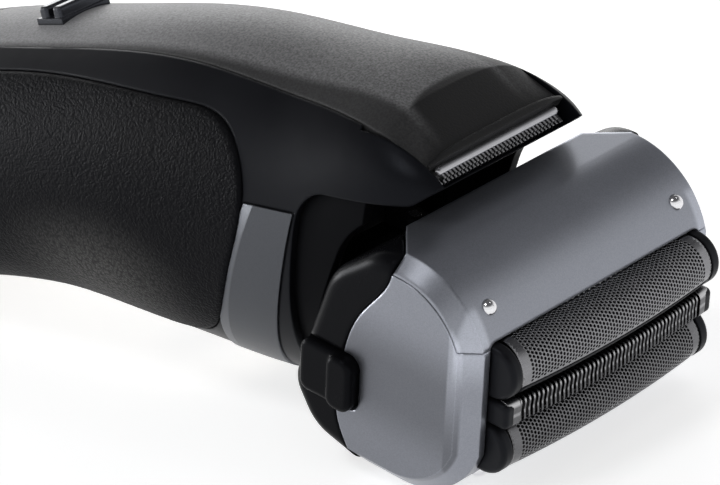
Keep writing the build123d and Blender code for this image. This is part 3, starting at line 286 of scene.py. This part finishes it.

# Silver trim: the band round the neck and the front panel are clipped-in mouldings with a
# satin metallic paint. Flakes in the paint sparkle, and the edges are painted a little brighter, as wear
# and as painted highlight.
band_grey = (0.062, 0.066, 0.075)
panel_silver = (0.5, 0.48, 0.455)
trim_rough = 0.42
trim_edge = 0.3
flakes_per_mm = 8.0
paint_depth = 0.005
edge_wear_and_highlight = 0.7
wear_and_highlight_turn = (0.03, 0.25)
chamfer_depth = 0.5
chamfer_width = 1.9
chamfer_highlight = 0.5
band_top = (29.96, 37.7)
band_slope = 0.463


def painted(name, colour, rough, edge, shape):
    """Metallic paint: fine flakes, slow clouds, faint orange peel and soft edges, the edges painted
    brighter as wear and as highlight.

    Shape gives, for a place, the share of the colour there and how far the face stands up in millimetres.
    """
    made, shader, place = surface(name, Metallic=0.85, Coat_Weight=0.1, Coat_Roughness=0.25)
    grit = place.node("TexVoronoi", {}, {"Vector": place, "Scale": flakes_per_mm}, "Color")
    flakes = grit.node("SeparateColor", {}, {"Color": grit}, "Red")
    cloud = place.noise(0.08, 3.0)
    tone = 0.7 * flakes + 0.3 * cloud
    skin = paint_depth * (0.75 * place.noise(1.6) + 0.25 * flakes)
    share, stand = shape(place)
    facing = place.node("NewGeometry", {}, {}, "Normal")
    both = {0: rounded(place, edge), 1: facing}
    turned = 1 - place.node("VectorMath", {"operation": "DOT_PRODUCT"}, both, "Value")
    feed(
        shader,
        Base_Color=tone.vary(colour, 0.88, 1.12) * (share + edge_wear_and_highlight * turned.between(*wear_and_highlight_turn)),
        Roughness=rough + flakes.swing(0.06) + cloud.swing(0.08),
        Normal=relief(place, skin + stand, 1.0, edge),
    )
    return made


def band_shape(place):
    """A chamfer along the slanted back edge of the band, made lighter as painted highlight."""
    inward = axis(place, "X") - band_top[0] + band_slope * (band_top[1] - axis(place, "Z"))
    face = place.node("MapRange", {}, {"Value": inward, "From Min": 0.0, "From Max": chamfer_width})
    return 1 + chamfer_highlight - chamfer_highlight * face.between(0.8, 1.0), chamfer_depth * face


def panel_shape(place):
    """A shallow crown across the panel, its colour a little darker towards the sides."""
    across = axis(place, "Y")
    return 1 - 0.0004 * across * across, -0.0008 * across * across


finish(painted("band paint", band_grey, trim_rough, trim_edge, band_shape), "neck_band")
finish(painted("panel paint", panel_silver, trim_rough, trim_edge, panel_shape), "front_cover")

# Front controls: a black power button slides in a chromed bezel in the front panel. A clear
# moulded light guide beside it carries the charge light from the board.
button_black = (0.014, 0.014, 0.015)
chrome_white = (0.78, 0.78, 0.8)
guide_clear = (0.9, 0.94, 0.97)
guide_dim = (0.78, 0.84, 0.9)


def polished(name, colour, rough):
    """Bright plating: faint haze in the gloss and very shallow waves."""
    made, shader, place = surface(name, Metallic=1.0)
    haze = place.noise(0.9, 3.0)
    feed(
        shader,
        Base_Color=haze.vary(colour, 0.92, 1.05),
        Roughness=rough + haze.swing(0.08),
        Normal=relief(place, haze, 0.002, 0.15),
    )
    return made


def clear_guide():
    """Clear polymer with a slight haze."""
    made, shader, place = surface("clear guide", Transmission_Weight=0.85, IOR=1.49)
    haze = place.noise(1.5)
    feed(
        shader,
        Base_Color=haze.mix(guide_dim, guide_clear),
        Roughness=0.1 + 0.1 * haze,
        Normal=relief(place, haze, 0.002, 0.15),
    )
    return made


finish(moulded("button black", button_black, 0.28, grain=7.0, depth=0.003), "power_button")
chrome = polished("chrome", chrome_white, 0.1)
finish(chrome, "button_bezel")
finish(clear_guide(), "light_pipe")

# Inside the handle: a black moulded chassis carries a wrapped cell with welded nickel tabs,
# and a green circuit board with its parts and the button's switch.
wrap_blue = (0.05, 0.22, 0.35)
tab_nickel = (0.62, 0.6, 0.55)
board_green = (0.012, 0.1, 0.04)
track_green = (0.03, 0.2, 0.08)


def laminate():
    """Green circuit laminate with straight tracks under the lacquer."""
    made, shader, place = surface("circuit laminate", Coat_Weight=0.3)
    waves = {"Vector": place, "Scale": 0.35, "Distortion": 1.5}
    shown = place.node("TexWave", {"bands_direction": "Y"}, waves).between(0.62, 0.7)
    weave = place.noise(3.0)
    feed(
        shader,
        Base_Color=shown.mix(board_green, track_green),
        Roughness=0.35 + 0.15 * weave,
        Normal=relief(place, shown + 0.2 * weave, 0.02, 0.1),
    )
    return made


finish(dull_black, "inner_chassis", "tact_switch", "board_parts")
finish(moulded("cell wrap", wrap_blue, 0.3, grain=1.2, depth=0.01), "battery_cell")
finish(polished("nickel tab", tab_nickel, 0.25), "battery_tabs")
finish(laminate(), "circuit_board")

# Trimmer cover: a sand-textured slide that runs along the handle's crown and drops to a
# sloped nose over the hair trimmer. Black polymer, with a ribbed thumb knob near its tail.
nose_place = (61.81, 0.0, 45.9)
nose_angle = math.radians(40.0)
# The nose's black and the crown's grey are each partly the cover's own tone and partly painted shade and
# light.
nose_black_and_shade = (0.01, 0.01, 0.0106)
crown_grey_and_light = (0.28, 0.28, 0.287)
crown_start = (0.05, 0.6)
flank_shade_span = (8.7, 10.6)
tailward_light_span = (-40.0, 45.0)
sand_depth = 0.05
cover_edge = 0.5
knob_black = (0.012, 0.012, 0.014)


def sanded():
    """Polymer with a sandy skin, grey on the crown and black on the nose and flanks, partly its own tone
    and partly painted light and shade.
    """
    made, shader, place = surface("sand texture", Specular_IOR_Level=0.22)
    grains = place.noise(2.6, 3.0)
    grit = place.noise(7.0)
    cloud = place.noise(0.07)
    height = 0.7 * grains + 0.3 * grit
    behind = nose_place[0] - axis(place, "X")
    under_slope = nose_place[2] - axis(place, "Z") + math.tan(nose_angle) * behind
    # The flanks are darkened as painted shade.
    flank = abs(axis(place, "Y")).between(*flank_shade_span)
    crown = under_slope.between(*crown_start) * (1 - 0.85 * flank)
    # Painted light: the crown is paler towards the tail.
    tailward_light = 1 - axis(place, "X").between(*tailward_light_span)
    tone = 0.4 * height.between(0.3, 0.7) + cloud.swing(0.2) + 0.5 * tailward_light
    feed(
        shader,
        Base_Color=(crown * (0.2 + tone)).mix(nose_black_and_shade, crown_grey_and_light),
        Roughness=0.52 + cloud.swing(0.12) - grains.swing(0.18),
        Normal=relief(place, height, sand_depth, cover_edge),
    )
    return made


finish(sanded(), "trimmer_cover")
finish(moulded("knob black", knob_black, 0.24, grain=8.0, depth=0.002, edge=0.35), "trimmer_knob")
finish(dull_black, "trimmer_carriage", "slide_shoe")
finish(bright_steel, "trimmer_screws")

# Trimmer blades: a fixed comb and a cutter that slides on it, stamped from spring steel with
# ground teeth. They lie under the nose of the cover, and screws hold the comb.
blade_steel = (0.42, 0.42, 0.43)
finish(rolled("trimmer steel", blade_steel, 0.3, (7.0, 0.6, 7.0)), "trimmer_comb", "trimmer_cutter")

# Trimmer guard: a half-round steel bar along the edge of the nose, which presses the skin flat
# in front of the teeth. It is polished, with rounded ends, and moves with the cover.
nose_turn = Matrix.Rotation(nose_angle, 3, "Y")
bar_half = 13.5
bar_middle = (0.55, -0.56)
bar_size = (0.85, 0.52)
bar_round = 0.5
bar_steps = 40
bar_sides = 16
guard_grey = (0.4, 0.4, 0.42)


def mesh_from(name, faces):
    """Mesh of faces given as rings of points, points at one place made one."""
    places = {}
    points = []
    rings = []
    for ring in faces:
        numbers = []
        for point in ring:
            key = tuple(round(part, 7) for part in point)
            if key not in places:
                places[key] = len(points)
                points.append(point)
            if places[key] not in numbers:
                numbers.append(places[key])
        if len(numbers) > 2:
            rings.append(numbers)
    mesh = bpy.data.meshes.new(name)
    mesh.from_pydata(points, [], rings)
    mesh.shade_smooth()
    return mesh


def strips(rows):
    """Four-sided faces between rows of points."""
    return [[a, b, d, c] for first, second in zip(rows, rows[1:])
            for a, b, c, d in zip(first, first[1:], second, second[1:])]


rows = []
for step in range(-bar_steps, bar_steps + 1):
    y = bar_half * step / bar_steps
    past = max(abs(y) - bar_half + bar_round, 0) / bar_round
    slim = math.sqrt(max(1 - past ** 2, 0.0001))
    ring = []
    for part in range(bar_sides + 1):
        turn = math.pi * 2 * part / bar_sides
        x = bar_middle[0] + bar_size[0] * slim * math.cos(turn)
        z = bar_middle[1] + bar_size[1] * slim * math.sin(turn)
        ring.append((nose_turn @ Vector((x, y, z)) + Vector(nose_place)) / 1000)
    rows.append(ring)
guard_steel = rolled("guard steel", guard_grey, 0.22, (7.0, 0.5, 7.0), depth=0.002)
add_piece("trimmer_guard", mesh_from("guard", strips(rows)), guard_steel, "trimmer")

# Neck: the black mount in the handle carries a pin for the yoke, on which the head swings
# and tilts. A black skirt hides the joint, and the pins are ground steel.
neck_black = (0.004, 0.004, 0.0046)
finish(dull_black, "neck_mount", "head_yoke")
finish(bright_steel, "swing_pin", "tilt_pins", "guide_rods")
skirt = moulded("skirt black", neck_black, 0.42, grain=4.0, edge=0.5, Specular_IOR_Level=0.04)
finish(skirt, "neck_skirt")

# Head base: a black gloss moulding that holds the motor and the two release buttons. The
# buttons are moulded in the same gloss black and slide in openings at the base's ends.
base_black = (0.0042, 0.0042, 0.005)
gloss = moulded("gloss black", base_black, 0.24, grain=6.0, depth=0.003, edge=0.9, Specular_IOR_Level=0.05)
finish(gloss, "head_base", "left_release", "right_release")

# Linear motor: a laminated core with a copper winding drives the mover, a black plate with
# plated magnets whose posts push the inner cutters from side to side.
core_grey = (0.3, 0.3, 0.31)
coil_copper = (0.72, 0.36, 0.18)
magnet_grey = (0.4, 0.4, 0.41)
finish(rolled("core laminate", core_grey, 0.45, (0.6, 6.0, 0.6)), "motor_core")
finish(rolled("copper winding", coil_copper, 0.3, (9.0, 0.5, 9.0), depth=0.02), "motor_coil")
finish(dull_black, "drive_mover")
finish(polished("magnet plate", magnet_grey, 0.22), "drive_magnets")

# Foil frame: the removable head frame is two clipped mouldings in grey metallic paint, a top
# panel and a body with bevelled ends. Four chromed studs pin the panel to the body.
head_place = Vector((68.509, 0.0, 17.5))
head_angle = math.radians(13.0)
frame_grey = (0.26, 0.272, 0.308)
holder_grey = (0.006, 0.006, 0.007)
# Where the painted shade and highlight fall on the frame's ends and the chamfers beside the foils.
end_face = 27.0
end_rim = 3.4
end_fade = (1.0, 11.0)
end_foot = (-13.0, -4.0)
rim_fade = (-9.0, 12.0)
chamfer_front = (4.0, 5.0)
chamfer_side = (23.0, 24.0)
chamfer_top = (2.0, 9.0)


def in_head(place):
    """Way forward and way up in the turned head."""
    from_place = place - tuple(head_place)
    x, z = axis(from_place, "X"), axis(from_place, "Z")
    forward = math.cos(head_angle) * x - math.sin(head_angle) * z
    upward = math.sin(head_angle) * x + math.cos(head_angle) * z
    return forward, upward


def frame_shape(place):
    """Painted shade and light on the ends: darker across the middle and lighter at top and foot, the rim
    lighter at the top and darker below, and painted highlight on the chamfer beside the foils at its top.
    """
    forward, upward = in_head(place)
    side = abs(axis(place, "Y"))
    on_end = side.between(end_face, end_face + 0.4)
    rim = forward.between(end_rim, end_rim + 0.5)
    face_shade = 0.06 + 0.42 * (1 - upward.between(*end_fade)) - 0.24 * (1 - upward.between(*end_foot))
    rim_shade = 0.5 - 0.9 * upward.between(*rim_fade)
    shade = on_end * ((1 - rim) * face_shade + rim * rim_shade)
    # Painted highlight on the chamfer beside the foils, at its top.
    paler_share = forward.between(*chamfer_front) * side.between(*chamfer_side) * upward.between(*chamfer_top)
    return 1 - shade + 0.6 * paler_share, -0.25 * on_end * forward.between(end_rim, end_rim + 4.0)


frame_paint = painted("grey paint", frame_grey, 0.34, 0.6, frame_shape)
finish(frame_paint, "frame_top", "frame_body")
finish(chrome, "frame_studs")
holder_black = moulded("holder black", holder_grey, 0.38, edge=0.4, Specular_IOR_Level=0.14)
finish(holder_black, "cassette_frame", "upper_holder", "middle_holder", "lower_holder")

# Foils: the upper and lower cutters work under thin electroformed nickel-steel sheets, bent
# to an arch and pierced with staggered round holes. The ends and legs are left plain.
head_turn = Matrix.Rotation(head_angle, 3, "Y")
bow_radius = 200.0
bow_axis = -187.0
foil_half = 21.45
foil_leg = 8.6
foil_wall = 0.00009
foil_arch = 4.2
foil_grey = (0.225, 0.225, 0.235)
lip_edge = 1.7
hole_column = 0.625
hole_columns = 36
hole_pitch = 0.65
hole_radius = 0.25
hole_end = 19.9
hole_leg = 7.9
hole_margin = 0.4
cell_corners = [(hole_column / 3 * a, hole_pitch / 4 * b) for a, b in
                ((2, 0), (1.5, -1), (1, -2), (0, -2), (-1, -2), (-1.5, -1),
                 (-2, 0), (-1.5, 1), (-1, 2), (0, 2), (1, 2), (1.5, 1))]
upper_height, upper_crown = 5.2, 13.45
lower_height, lower_crown = -7.8, 12.55
# Each row: name, height and crown in the head, way out, inner edge, share of the foil's colour (lower on
# the lower foil, as painted shade)
foil_rows = (("upper", upper_height, upper_crown, 1, -lip_edge, 1.0),
             ("lower", lower_height, lower_crown, -1, -6.4, 0.65))


def clamp(value, low, high):
    """Value kept between low and high."""
    return min(max(value, low), high)


def on_foil(half, corner, crown, height, along, y):
    """Place on a bowed arch: along is the way from the crown over the edge, y the way along the foil."""
    flat = half - corner
    way = abs(along) - flat
    bend = clamp(way / corner, 0.0, math.pi / 2)
    leg = max(way - corner * math.pi / 2, 0.0)
    x = crown - corner + corner * math.cos(bend) - leg
    z = math.copysign(min(abs(along), flat) + corner * math.sin(bend), along)
    turn = y / bow_radius
    reach = x - bow_axis
    local = Vector((reach * math.cos(turn) + bow_axis, reach * math.sin(turn), height + z))
    return (head_turn @ local + head_place) / 1000


def arch(height, crown, outward):
    """Way to lift a spot of the flat sheet to its place on a pierced foil."""
    return lambda along, y: on_foil(foil_arch, foil_arch, crown, height, along * outward, y)


def pierced_faces(lift, low, high, low_hole, high_hole):
    """Six-sided cells that tile the sheet, those in the pierced area with a round hole."""
    sides = len(cell_corners)
    turns = [-math.pi * 2 / sides * step for step in range(sides)]
    faces = []
    for column in range(-hole_columns, hole_columns + 1):
        y = column * hole_column
        shift = hole_pitch / 2 * (column % 2)
        for row in range(math.floor(low / hole_pitch) - 1, math.ceil(high / hole_pitch) + 1):
            along = row * hole_pitch + shift
            spots = [(clamp(along + b, low, high), clamp(y + a, -foil_half, foil_half))
                     for a, b in cell_corners]
            ring = [lift(*spot) for spot in spots]
            if low_hole < along < high_hole and abs(y) < hole_end:
                hole = [lift(along + hole_radius * math.sin(turn), y + hole_radius * math.cos(turn))
                        for turn in turns]
                for step in range(sides):
                    after = (step + 1) % sides
                    faces.append([ring[step], hole[step], hole[after], ring[after]])
            else:
                faces.append(ring[::-1])
    return faces


for name, height, crown, outward, inner, light in foil_rows:
    lift = arch(height, crown, outward)
    pierced = mesh_from(name, pierced_faces(lift, inner - 0.3, foil_leg, inner + hole_margin, hole_leg))
    # The lower foil's colour is darkened as painted shade.
    foil_colour = shaded(foil_grey, light)
    nickel = rolled(name + " foil nickel", foil_colour, 0.24, (5.0, 0.8, 5.0), depth=0.002, edge=0.06)
    sheet = add_piece(name + "_foil_sheet", pierced, nickel, name + "_foil_unit")
    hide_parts(name + "_foil")
    wall = sheet.modifiers.new("sheet thickness", "SOLIDIFY")
    wall.thickness = foil_wall
    wall.offset = -outward

# Foil lip: a black strip covers the upper foil's inner edge, where it turns down beside the
# middle foil. It is moulded in one with the holder below.
lip_wall = 0.00012
lip_step = 0.36
lip_steps = 18
lip_parts = 20
lift = arch(upper_height, upper_crown, 1)
rows = []
for step in range(lip_steps + 1):
    along = lip_edge + lip_step * step
    rows.append([lift(-along, foil_half * part / lip_parts) for part in range(-lip_parts, lip_parts + 1)])
strip_mesh = mesh_from("lip", strips(rows))
lip = add_piece("upper_foil_lip", strip_mesh, holder_black, "upper_foil_unit")
wall = lip.modifiers.new("lip thickness", "SOLIDIFY")
wall.thickness = lip_wall
wall.offset = 0.0

# Middle foil: a steel strip folded over a flat top and slotted right across in chevrons, so
# that long hairs fall in. The bars are slightly crowned, and plain pads close the ends.
slit_half, slit_corner, slit_crown, slit_height = 2.05, 0.9, 12.4, -1.3
slit_pitch = 0.894
slit_count = 46
slit_lean = 0.26
slit_dark = (0.085, 0.085, 0.089)
slit_highlight_grey = (0.5, 0.5, 0.51)
fold_highlight = (1.1, 1.7)
bend_highlight = (0.1, 0.45)
bar_shape = ((-0.2, -0.2), (-0.14, -0.06), (0.0, 0.03), (0.14, -0.06), (0.2, -0.2))
bar_end = slit_half - slit_corner + slit_corner * math.pi / 2 + 1.3
leg_end = bar_end + 3.2
pad_start = slit_pitch * slit_count / 2
pad_end = 22.9
pad_raise = 0.16
strip_wall = 0.00012
across_steps = 20
plain_steps = 24


def on_slit(along, y, raised=0.0):
    """Place on the middle foil, raised off it by so much."""
    round_by = slit_corner + raised
    return on_foil(slit_half + raised, round_by, slit_crown + raised, slit_height, along, y)


def lean(along):
    """Way that a bar bends to the side at a place across the foil, most in the middle."""
    return -slit_lean * max(1 - abs(along) / slit_half, 0)


def slotted():
    """Dark hardened strip, with painted highlights along its upper fold and along the bend of the chevrons.
    """
    made, shader, place = surface("slit steel", Metallic=1.0)
    lines = place.noise(3.0, 3.0)
    above = in_head(place)[1] - slit_height
    tip_highlight = above.between(*fold_highlight) + 0.5 * (1 - abs(above).between(*bend_highlight))
    feed(
        shader,
        Base_Color=(0.8 * tip_highlight + 0.2 * lines).mix(slit_dark, slit_highlight_grey),
        Roughness=0.22 + lines.swing(0.2),
        Normal=relief(place, lines, 0.002, 0.05),
    )
    return made


faces = []
across = [bar_end * step / across_steps for step in range(-across_steps, across_steps + 1)]
for number in range(slit_count):
    middle = (number - (slit_count - 1) / 2) * slit_pitch
    rows = [[on_slit(s, middle + lean(s) + aside, up) for aside, up in bar_shape] for s in across]
    faces += strips(rows)
# Each area: its range across the foil, its range along the foil, and how far it is raised
plain_areas = ((-leg_end, -bar_end, -foil_half, foil_half, 0.0),
               (bar_end, leg_end, -foil_half, foil_half, 0.0),
               (-bar_end, bar_end, -pad_end, -pad_start, pad_raise),
               (-bar_end, bar_end, pad_start, pad_end, pad_raise))
for low, high, start, end, raised in plain_areas:
    across = [low + (high - low) * step / plain_steps for step in range(plain_steps + 1)]
    beside = [start + (end - start) * step / plain_steps for step in range(plain_steps + 1)]
    rows = [[on_slit(s, y, raised) for y in beside] for s in across]
    faces += strips(rows)
strip_mesh = mesh_from("middle", faces)
strip = add_piece("middle_foil_strip", strip_mesh, slotted(), "middle_foil_unit")
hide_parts("middle_foil")
wall = strip.modifiers.new("strip thickness", "SOLIDIFY")
wall.thickness = strip_wall
wall.offset = -1

# Inner cutters: rows of hardened steel blades on a bar, ground to the foil's arch. Their
# steel is coloured near black as painted shade, so they show only as a dark shimmer behind the holes.
cutter_shade_dark = (0.02, 0.02, 0.021)
cutter_steel = rolled("cutter steel", cutter_shade_dark, 0.5, (0.6, 5.0, 0.6))
finish(cutter_steel, "upper_inner_cutter", "middle_inner_cutter", "lower_inner_cutter")

# Studio: a white floor, a surround that is white at the sides and grey overhead, four softboxes
# and the camera at the photograph's angle.
floor_half = 9
floor_white = (0.8, 0.8, 0.8, 1)
floor_lift = 0.62
surround_white = (1.0, 1.0, 1.0)
ceiling_grey = (0.12, 0.12, 0.125)
ceiling_rise = (0.3, 0.74)
light_target = Vector((0.02, 0, 0.03))
camera_place = Vector((0.46277, -0.42002, 0.2669))
camera_lens = 213.925
camera_sensor = 36
to_right = Vector((0.7276, 0.6739, -0.1283))
to_top = Vector((-0.1699, 0.3582, 0.9181))
to_back = Vector((0.6646, -0.6462, 0.3751))


def seen(tree):
    """1 where the camera, a reflection or a clear piece sees the surface."""
    path = tree.nodes.new("ShaderNodeLightPath")
    rays = [Value(path.outputs[name]) for name in ("Is Camera Ray", "Is Glossy Ray", "Is Transmission Ray")]
    return rays[0].maths("MAXIMUM", rays[0].maths("MAXIMUM", rays[0], rays[1]), rays[2])


def softbox(name, place, size, power):
    """Square soft light that faces the head of the shaver."""
    lamp = bpy.data.lights.new(name, "AREA")
    lamp.size = size
    lamp.energy = power
    light = bpy.data.objects.new(name, lamp)
    light.location = place
    light.rotation_euler = (light_target - Vector(place)).to_track_quat("-Z", "Y").to_euler()
    bpy.context.scene.collection.objects.link(light)


floor_corners = [(floor_half * a, floor_half * b, 0) for a, b in ((-1, -1), (1, -1), (1, 1), (-1, 1))]
floor_mesh = bpy.data.meshes.new("floor")
floor_mesh.from_pydata(floor_corners, [], [(0, 1, 2, 3)])
floor = bpy.data.objects.new("floor", floor_mesh)
bpy.context.scene.collection.objects.link(floor)
floor_paint = bpy.data.materials.new("white floor")
floor_paint.use_nodes = True
floor_tree = floor_paint.node_tree
floor_tree.nodes.remove(floor_tree.nodes["Principled BSDF"])
looked_at = seen(floor_tree)
matt = looked_at.node("BsdfDiffuse", {}, {"Color": floor_white})
lift_light = looked_at.node("Emission", {}, {"Color": (1, 1, 1, 1), "Strength": floor_lift})
lifted = looked_at.node("AddShader", {}, {0: matt, 1: lift_light})
whole = looked_at.node("MixShader", {}, {0: looked_at, 1: matt, 2: lifted})
floor_tree.links.new(whole.link, floor_tree.nodes["Material Output"].inputs["Surface"])
floor_mesh.materials.append(floor_paint)

world = bpy.data.worlds.new("surround")
bpy.context.scene.world = world
world.use_nodes = True
world_tree = world.node_tree
path = world_tree.nodes.new("ShaderNodeLightPath")
direct = Value(path.outputs["Is Camera Ray"])
sky = world_tree.nodes.new("ShaderNodeTexCoord")
skyward = axis(Value(sky.outputs["Generated"]), "Z")
shade = ((1 - direct) * skyward.between(*ceiling_rise)).mix(surround_white, ceiling_grey)
world_tree.links.new(shade.link, world_tree.nodes["Background"].inputs["Color"])

softbox("front box", (-0.05, -0.5, 0.9), 0.3, 1.7)
softbox("back box", (-0.75, 0.8, 0.42), 0.6, 4.0)
softbox("left box", (-1.0, -0.3, 0.14), 0.4, 5.0)
softbox("top box", (0.3, 0.3, 0.9), 0.12, 0.2)

lens = bpy.data.cameras.new("camera")
lens.lens = camera_lens
lens.sensor_width = camera_sensor
lens.clip_start = 0.01
camera = bpy.data.objects.new("camera", lens)
bpy.context.scene.collection.objects.link(camera)
view = Matrix((to_right, to_top, to_back)).transposed().to_4x4()
view.translation = camera_place
camera.matrix_world = view
bpy.context.scene.camera = camera
bpy.context.scene.view_settings.view_transform = "Standard"
